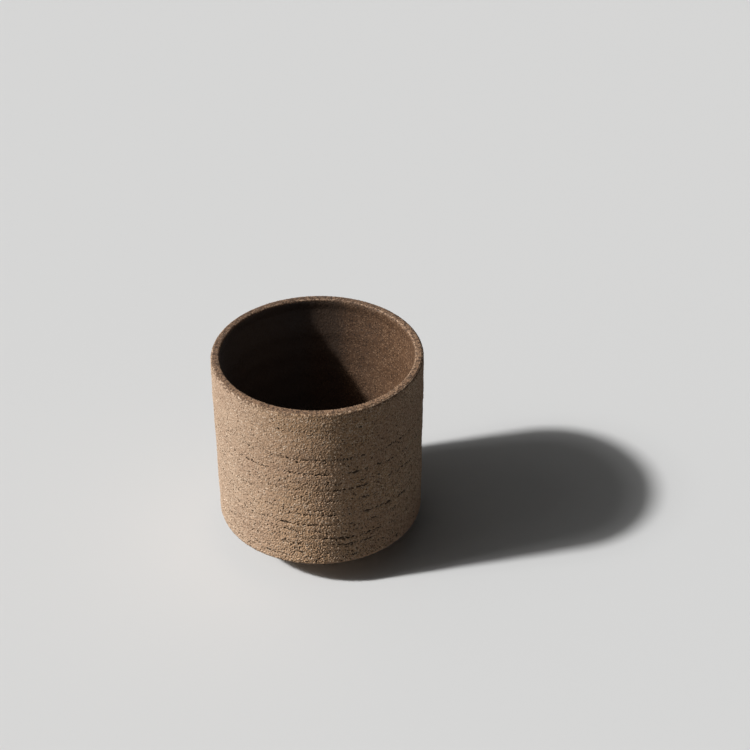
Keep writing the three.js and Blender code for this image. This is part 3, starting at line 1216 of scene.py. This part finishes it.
    def _pits(self, sheet: ReliefSheet, drop: np.ndarray, low: np.ndarray, rough: np.ndarray) -> np.ndarray:
        """Draws single pits, few near the lip, and more towards the lower edge and on the rougher side.

        Args:
            sheet: The sheet of the wall.
            drop: Drop of each row below the crown.
            low: How far each row lies in the low band.
            rough: How far each column lies on the rougher side.

        Returns:
            How far each place lies in a pit.
        """
        density = self.pit_density.at(drop) + self.low_pit_density * low
        density = density + rough * self.rough_pit_density.at(drop) * (1.0 - low)
        small = sheet.spread(sheet.scatter(density), *self.small_pit_reach, FULL_CAP)
        large = sheet.scatter(self.large_pit_share * density)
        return small + sheet.spread(large, *self.large_pit_reach, FULL_CAP)

    def build(self, finish: bpy.types.Material) -> bpy.types.Object:
        """Makes the body.

        Args:
            finish: Its material.

        Returns:
            The piece, which stands for the body's solid.
        """
        recess, band, bed = self.recess(), self.band(), self.bed()
        rows = np.concatenate([recess, band, bed])
        relief, pits, pale = self.relief(band)
        under, behind = (np.zeros((len(part), self.columns)) for part in (recess, bed))
        first, second, last = len(recess), len(recess) + len(band), len(rows) - 1
        patches = (
            MapPatch((0, first), LOWER_DISC, pole=0),
            MapPatch((first, second), TALL_BAND),
            MapPatch((second, last), UPPER_DISC, pole=last),
        )
        relief, pits, pale = (np.concatenate([under, part, behind]) for part in (relief, pits, pale))
        # The pit mark is where the finish paints shade: in pits and in low places of the grit.
        marks = {"pit": pits, "pale_grit": pale}
        mesh = TurnedMesh(self.columns)
        piece = mesh.build("fine_stoneware_body", rows, relief, patches, marks, finish)
        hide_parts("stoneware_body")
        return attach(piece, "root")


@dataclass
class GlazeLiner:
    """The coat of glaze inside and over the lip.

    The fades of its hollow are by the drop below the crown, and those of its surface by the way from its
    edge on the lip. Each ripple is a height and a reach, and each break is a reach down and a reach round.
    """

    sizes: CupSizes
    columns: int = 960
    seed: int = 19
    grit: Grit = Grit(lump=0.01 * MM)
    step: float = 0.22 * MM
    lip_step: float = 0.18 * MM
    wall_step: float = 0.3 * MM
    floor_step: float = 0.5 * MM
    back_row_skip: int = 8
    lip_steps: int = 12
    corner_steps: int = 24
    crown_headroom: float = 0.7
    hollow_start: Fade = Fade(1.6 * MM, 5.4 * MM)
    hollow_end: Fade = Fade(17.4 * MM, 6.4 * MM)
    hollow_depth: float = 0.45 * MM
    ring_start_drop: float = 14.4 * MM
    ring_pitch: float = 9.6 * MM
    ring_depth: float = 0.15 * MM
    ring_start: Fade = Fade(0.0, 0.3)
    ring_end: Fade = Fade(0.0, 3.0 * MM)
    thickening: Fade = Fade(0.0, 3.0 * MM)
    back_gap: float = 0.1 * MM
    softness: float = 0.5
    fine_ripple: tuple[float, float] = (0.016 * MM, 0.3 * MM)
    broad_ripple: tuple[float, float] = (0.012 * MM, 1.1 * MM)
    grit_tops: Fade = Fade(0.01 * MM, 0.08 * MM)
    fine_breaks: tuple[float, float] = (0.3 * MM, 0.5 * MM)
    broad_breaks: tuple[float, float] = (0.8 * MM, 2.0 * MM)
    broad_break_share: float = 0.5
    breaks: Fade = Fade(-0.2, 0.9)
    sharp_lip: Fade = Fade(4.5 * MM, 2.8 * MM)
    feathered_edge: Fade = Fade(0.9 * MM, 0.0, 0.0, 0.07 * MM)
    floor_middle: Fade = Fade(0.5 * MM, 4.0 * MM)
    # A pale line on the lip's inner edge, partly rubbed glaze and partly a painted highlight.
    highlight_edge_setback: float = 0.2 * MM
    highlight_edge_width: float = 0.2 * MM
    worn_tops: float = 0.12
    worn_lip_tops: float = 0.42
    deepest: float = 0.16 * MM
    top_headroom: float = 0.65

    def wall_radius(self, height: np.ndarray) -> np.ndarray:
        """Radius of the glazed wall with the hollow under its lip, which is thicker than the wall just
        below, and its throwing rings.
        """
        s = self.sizes
        drop = s.crown_height - height
        hollow = self.hollow_start.at(drop) * self.hollow_end.at(drop)
        turns = (drop - self.ring_start_drop) / self.ring_pitch
        fade = self.ring_start.at(turns) * self.ring_end.moved(s.corner_top).at(height)
        rings = np.sin(math.pi * (turns % 1.0)) ** 2 * fade
        return s.inner_radius(height) + self.hollow_depth * hollow + self.ring_depth * rings

    def face(self) -> np.ndarray:
        """Rows of the visible face, from the edge on the lip to the middle of the floor."""
        s = self.sizes
        crown = s.crown_height - self.crown_headroom * s.headroom
        inner = (s.rim_radius - s.lip_thickness + s.lip_inner_rounding, crown - s.lip_inner_rounding)
        rounding = arc(inner, s.lip_inner_rounding, 90.0, 180.0, self.lip_steps)
        lip = even_rows([(s.glaze_edge_radius, crown), *rounding], self.lip_step)
        heights = np.arange(inner[1], s.corner_top, -self.wall_step)
        wall = np.stack([self.wall_radius(heights), heights], axis=1)
        corner = arc(s.corner_centre, s.floor_corner_radius, 0.0, -90.0, self.corner_steps)
        floor = even_rows([*corner, (0.0, s.floor_height)], self.floor_step)
        return np.concatenate([lip, wall, floor])

    def back(self, face: np.ndarray) -> np.ndarray:
        """Rows of the back, in the wall behind the face, from the middle of the floor to the edge.

        Args:
            face: Radius and height of the face's rows.

        Returns:
            The rows, fewer than those of the face.
        """
        s = self.sizes
        share = self.thickening.at(run_along(face))[:, None]
        thickness = s.glaze_edge_thickness + (s.glaze_wall_thickness - s.glaze_edge_thickness) * share
        run = np.gradient(face, axis=0)
        inwards = np.stack([-run[:, 1], run[:, 0]], axis=1) / np.hypot(*run.T)[:, None]
        kept = [*range(len(face) - 1, self.back_row_skip - 1, -self.back_row_skip), 0]
        return (face + inwards * (thickness + self.back_gap))[kept]

    def relief(self, face: np.ndarray) -> tuple[np.ndarray, np.ndarray]:
        """Grit that shows through the glaze, sharp on the lip and softened inside.

        Args:
            face: Radius and height of the face's rows.

        Returns:
            The relief, and how far the clay shows through the glaze, from 0 to 1, with a pale line on the
            inner edge that is partly a painted highlight.
        """
        s = self.sizes
        run = run_along(face)[:, None]
        sheet = ReliefSheet(run[-1, 0], self.columns, s.rim_radius, self.step, self.seed)
        grit, _ = self.grit.relief(sheet)
        softened = self.softness * grit
        for height, reach in (self.fine_ripple, self.broad_ripple):
            softened = softened + height * sheet.grain(reach)
        broken = sheet.grain(*self.fine_breaks) + self.broad_break_share * sheet.grain(*self.broad_breaks)
        fields = (grit, softened, self.breaks.at(broken), self.grit_tops.at(grit))
        grit, softened, breaks, tops = (sheet.on_rows(part, face) for part in fields)
        lip = self.sharp_lip.at(run)
        relief = lip * grit + (1.0 - lip) * softened - self.feathered_edge.at(run)
        relief = np.clip(relief, -self.deepest, self.top_headroom * s.headroom)
        # The pale line on the inner edge is partly a painted highlight; grit tops show rubbed glaze.
        inner_edge = s.lip_thickness - s.glaze_setback - self.highlight_edge_setback
        wear_and_highlight = np.exp(-(((run - inner_edge) / self.highlight_edge_width) ** 2)) * breaks
        wear_and_highlight = wear_and_highlight + (self.worn_tops + self.worn_lip_tops * lip) * tops
        return relief * self.floor_middle.at(face[:, :1]), np.clip(wear_and_highlight, 0.0, 1.0)

    def build(self, finish: bpy.types.Material) -> bpy.types.Object:
        """Makes the liner.

        Args:
            finish: Its material.

        Returns:
            The piece, which stands for the glaze's solid.
        """
        face = self.face()
        back = self.back(face)
        rows = np.concatenate([back, face])
        behind = np.zeros((len(back), self.columns))
        relief, wear_and_highlight = (np.concatenate([behind, part]) for part in self.relief(face))
        last = len(rows) - 1
        floor = last - int(np.sum(face[:, 0] < self.sizes.corner_centre[0]))
        patches = (
            MapPatch((0, len(back)), UPPER_DISC, pole=0),
            MapPatch((len(back), floor), TALL_BAND),
            MapPatch((floor, last), LOWER_DISC, pole=last),
        )
        mesh = TurnedMesh(self.columns)
        piece = mesh.build("fine_liner_glaze", rows, relief, patches, {"wear_and_highlight": wear_and_highlight}, finish)
        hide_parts("liner_glaze")
        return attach(piece, "root")


@dataclass
class FootRing:
    """The ring of clay that is luted to the underside."""

    sizes: CupSizes
    columns: int = 512
    seed: int = 31
    step: float = 0.25 * MM
    grit: Grit = Grit(fine=0.012 * MM, sand=0.035 * MM, stone=0.03 * MM)
    radius: float = 22.0 * MM
    width: float = 5.0 * MM
    edge_rounding: float = 0.8 * MM
    outer_fillet: float = 2.0 * MM
    inner_fillet: float = 1.2 * MM
    arc_steps: int = 8
    ring_height: float = 0.04 * MM
    ring_reach: float = 0.4 * MM
    smooth_end: float = 1.2 * MM
    sunk_depth: float = 0.02 * MM
    resting_height: float = 0.2 * MM

    def outline(self) -> list[tuple[float, float]]:
        """Corners of the ring, from the bore round the resting face and the outside to the seat."""
        s = self.sizes
        edge, outer, inner = self.edge_rounding, self.outer_fillet, self.inner_fillet
        bore = self.radius - self.width
        corners = [
            *arc((bore + edge, edge), edge, 180.0, 270.0, self.arc_steps),
            *arc((self.radius - edge, edge), edge, -90.0, 0.0, self.arc_steps),
            *arc((s.seat_outer_radius, s.seat_height - outer), outer, 180.0, 90.0, self.arc_steps),
            *arc((s.seat_inner_radius, s.seat_height - inner), inner, 90.0, 0.0, self.arc_steps),
        ]
        return [*corners, corners[0]]

    def build(self, finish: bpy.types.Material) -> bpy.types.Object:
        """Makes the foot ring.

        Args:
            finish: Its material.

        Returns:
            The piece, which stands for the ring's solid.
        """
        seat_height = self.sizes.seat_height
        rows = even_rows(self.outline(), self.step)
        height = rows[:, 1:]
        sheet = ReliefSheet(run_along(rows)[-1], self.columns, self.radius, self.step, self.seed)
        grit, pale = self.grit.relief(sheet)
        rings = self.ring_height * sheet.line_noise(self.ring_reach, axis=0)[:, None]
        side = Fade(0.0, self.smooth_end).at(height)
        side = side * Fade(seat_height, seat_height - self.smooth_end).at(height)
        relief = sheet.on_rows(grit + rings, rows) * side - self.sunk_depth
        relief = np.where(height < self.resting_height, np.minimum(relief, 0.0), relief)
        patches = (MapPatch((0, len(rows)), WHOLE_MAP),)
        marks = {"pit": np.zeros(1), "pale_grit": sheet.on_rows(pale, rows)}
        mesh = TurnedMesh(self.columns, looped=True)
        piece = mesh.build("fine_foot_ring", rows, relief, patches, marks, finish)
        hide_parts("foot_ring")
        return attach(piece, "root")


@dataclass(frozen=True)
class Studio:
    """The plain floor, the light and the background.

    Each part of the key light has a name, a width in degrees and a strength.
    """

    floor_colour: Colour = (0.7, 0.7, 0.695)
    floor_bounce: Colour = (0.22, 0.22, 0.218)
    floor_half_width: float = 3.0
    floor_roughness: float = 0.7
    floor_gloss: float = 0.2
    sun_azimuth: float = 11.2
    sun_elevation: float = 39.5
    key_parts: tuple[tuple[str, float, float], ...] = (
        ("core", 3.4, 3.4),
        ("halo", 11.0, 0.85),
        ("veil", 35.0, 0.16),
        ("glow", 110.0, 0.25),
    )
    fill_colour: Colour = (1.0, 0.985, 0.95)
    fill_strength: float = 0.01
    backdrop_colour: Colour = (0.62, 0.62, 0.615)

    def build(self) -> None:
        """Makes the floor, the key light and the world."""
        self._floor()
        self._key()
        self._world()

    def _floor(self) -> None:
        """A wide matt floor in the plane that the foot rests on."""
        half = self.floor_half_width
        mesh = bpy.data.meshes.new("floor")
        corners = [(-half, -half, 0.0), (half, -half, 0.0), (half, half, 0.0), (-half, half, 0.0)]
        mesh.from_pydata(corners, [], [(0, 1, 2, 3)])
        floor = bpy.data.objects.new("floor", mesh)
        bpy.context.scene.collection.objects.link(floor)
        material, graph, shader = new_material("pale_floor")
        graph.feed(shader, {
            "Base Color": graph.mix(self._seen_directly(graph), self.floor_bounce, self.floor_colour),
            "Roughness": self.floor_roughness,
            "Specular IOR Level": self.floor_gloss,
        })
        mesh.materials.append(material)

    def _key(self) -> None:
        """The key light, from the left and a little in front: a small disc in ever wider glows."""
        azimuth, elevation = math.radians(self.sun_azimuth), math.radians(self.sun_elevation)
        towards = Vector((
            -math.cos(elevation) * math.cos(azimuth),
            -math.cos(elevation) * math.sin(azimuth),
            math.sin(elevation),
        ))
        for name, width, strength in self.key_parts:
            lamp = bpy.data.lights.new(f"key_{name}", "SUN")
            lamp.energy = strength
            lamp.angle = math.radians(width)
            holder = bpy.data.objects.new(lamp.name, lamp)
            holder.rotation_mode = "QUATERNION"
            holder.rotation_quaternion = towards.to_track_quat("Z", "Y")
            bpy.context.scene.collection.objects.link(holder)

    def _world(self) -> None:
        """A soft fill, and a pale background where the camera or a reflection looks past the floor."""
        world = bpy.data.worlds.new("studio")
        world.use_nodes = True
        bpy.context.scene.world = world
        graph = Graph(world.node_tree)
        fill = world.node_tree.nodes["Background"]
        graph.feed(fill, {"Color": self.fill_colour, "Strength": self.fill_strength})
        seen = graph.add("ShaderNodeBackground", {"Color": self.backdrop_colour, "Strength": 1.0})
        parts = {0: self._seen_directly(graph), 1: fill.outputs[0], 2: seen.outputs[0]}
        mixed = graph.add("ShaderNodeMixShader", parts)
        graph.feed(world.node_tree.nodes["World Output"], {"Surface": mixed.outputs[0]})

    @staticmethod
    def _seen_directly(graph: Graph) -> bpy.types.NodeSocket:
        """1 where the camera or a reflection looks, and 0 where diffuse light is gathered."""
        rays = graph.add("ShaderNodeLightPath").outputs
        direct = graph.total(rays["Is Camera Ray"], rays["Is Glossy Ray"], rays["Is Transmission Ray"])
        return graph.maths("MINIMUM", direct, 1.0)


@dataclass(frozen=True)
class PhotoCamera:
    """The camera, fitted to the photograph's rim, sides, lower edge and shadow. Angles are in degrees."""

    image_width: float = 750.0
    focal_pixels: float = 2000.0
    sensor_width: float = 36.0
    nearest: float = 10.0 * MM
    distance: float = 746.6 * MM
    elevation: float = 34.25
    pitch: float = 34.91
    yaw: float = 2.0
    roll: float = 0.28
    aim_drop: float = 0.4 * MM

    def build(self, crown_height: float) -> None:
        """Makes the camera.

        Args:
            crown_height: Height of the cup's crown.
        """
        lens = bpy.data.cameras.new("camera")
        lens.sensor_width = self.sensor_width
        lens.lens = self.focal_pixels * self.sensor_width / self.image_width
        lens.clip_start = self.nearest
        holder = bpy.data.objects.new("camera", lens)
        elevation = math.radians(self.elevation)
        aim_height = crown_height - self.aim_drop
        back = self.distance * math.cos(elevation)
        rise = self.distance * math.sin(elevation)
        tilt = Matrix.Rotation(math.radians(90.0 - self.pitch), 4, "X")
        turn = Matrix.Rotation(math.radians(-self.yaw), 4, "Z")
        spin = Matrix.Rotation(math.radians(-self.roll), 4, "Z")
        holder.matrix_world = Matrix.Translation((0.0, -back, aim_height + rise)) @ turn @ tilt @ spin
        bpy.context.scene.collection.objects.link(holder)
        bpy.context.scene.camera = holder


def finishes(sizes: CupSizes) -> dict[str, bpy.types.Material]:
    """Builds the three finishes.

    Args:
        sizes: Sizes of the cup, for where a finish begins and ends.

    Returns:
        The materials by slot.
    """
    effects = Effects()
    bare = ClayFinish(
        name="bare_clay",
        clay=(0.5, 0.31, 0.175),
        bounce_lit_clay=(0.67, 0.422, 0.243),
        sheen_clay=(0.54, 0.386, 0.27),
        toasted=(0.43, 0.277, 0.188),
        # hollow is painted shade in pits.
        hollow=(0.045, 0.029, 0.018),
        lip_stain=(0.12, 0.073, 0.046),
        grit=Speckle(
            pale=(0.76, 0.6, 0.45),
            dark=(0.13, 0.08, 0.047),
            per_mm=1.25,
            pale_share=0.14,
            dark_share=0.14,
            gap_shade_share=0.3,
        ),
        fine_grit_per_mm=2.4,
        roughness=Patches(1.3, 3.0, Fade(0.3, 0.7, 0.82, 0.96)),
        bump_height=0.06 * MM,
        line_height=0.1 * MM,
        turned_below=sizes.stand_height,
        stain_above=sizes.crown_height - 0.65 * MM,
    )
    turned_tone = (0.31, 0.217, 0.145)
    turned = ClayFinish(
        name="turned_clay",
        clay=turned_tone,
        bounce_lit_clay=turned_tone,
        sheen_clay=turned_tone,
        toasted=(0.26, 0.175, 0.12),
        hollow=(0.09, 0.058, 0.036),
        lip_stain=(0.2, 0.125, 0.085),
        grit=Speckle(
            pale=(0.47, 0.36, 0.27),
            dark=(0.12, 0.08, 0.052),
            per_mm=1.6,
            pale_share=0.15,
            dark_share=0.1,
            gap_shade_share=0.1,
        ),
        fine_grit_per_mm=3.2,
        roughness=Patches(1.3, 3.0, Fade(0.3, 0.7, 0.75, 0.92)),
        bump_height=0.015 * MM,
        line_height=0.1 * MM,
        turned_below=sizes.stand_height,
        stain_above=sizes.crown_height,
    )
    glaze = GlazeFinish(
        name="liner_glaze",
        # The two darkest glaze colours are painted shade inside the cup.
        shadow_shade=(0.045, 0.038, 0.036),
        penumbra_shade=(0.037, 0.027, 0.021),
        deep=(0.125, 0.064, 0.033),
        warm=(0.155, 0.082, 0.044),
        thin=(0.125, 0.068, 0.038),
        thinnest=(0.27, 0.155, 0.087),
        blotch=(0.05, 0.027, 0.016),
        wear_and_highlight=(0.6, 0.41, 0.27),
        specks=Speckle(
            pale=(0.27, 0.162, 0.095),
            dark=(0.03, 0.018, 0.012),
            per_mm=1.5,
            pale_share=0.3,
            dark_share=0.25,
            gap_shade_share=0.4,
        ),
        roughness=Patches(0.9, 3.0, Fade(0.3, 0.7, 0.42, 0.58)),
        thin_above=sizes.crown_height - 0.8 * MM,
    )
    return {finish.name: finish.build(effects) for finish in (bare, turned, glaze)}


def main() -> None:
    """Builds the cup, the studio and the camera in order, and reports each piece."""
    logging.basicConfig(level=logging.INFO, format="%(name)s: %(message)s")
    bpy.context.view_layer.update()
    sizes = CupSizes.from_frame()
    materials = finishes(sizes)
    pieces = (
        ThrownBody(sizes).build(materials["bare_clay"]),
        GlazeLiner(sizes).build(materials["liner_glaze"]),
        FootRing(sizes).build(materials["turned_clay"]),
    )
    for piece in pieces:
        log.info("%s: %d faces", piece.name, len(piece.data.polygons))
    Studio().build()
    PhotoCamera().build(sizes.crown_height)
    bpy.context.scene.view_settings.view_transform = "Standard"


if __name__ == "__main__":
    main()
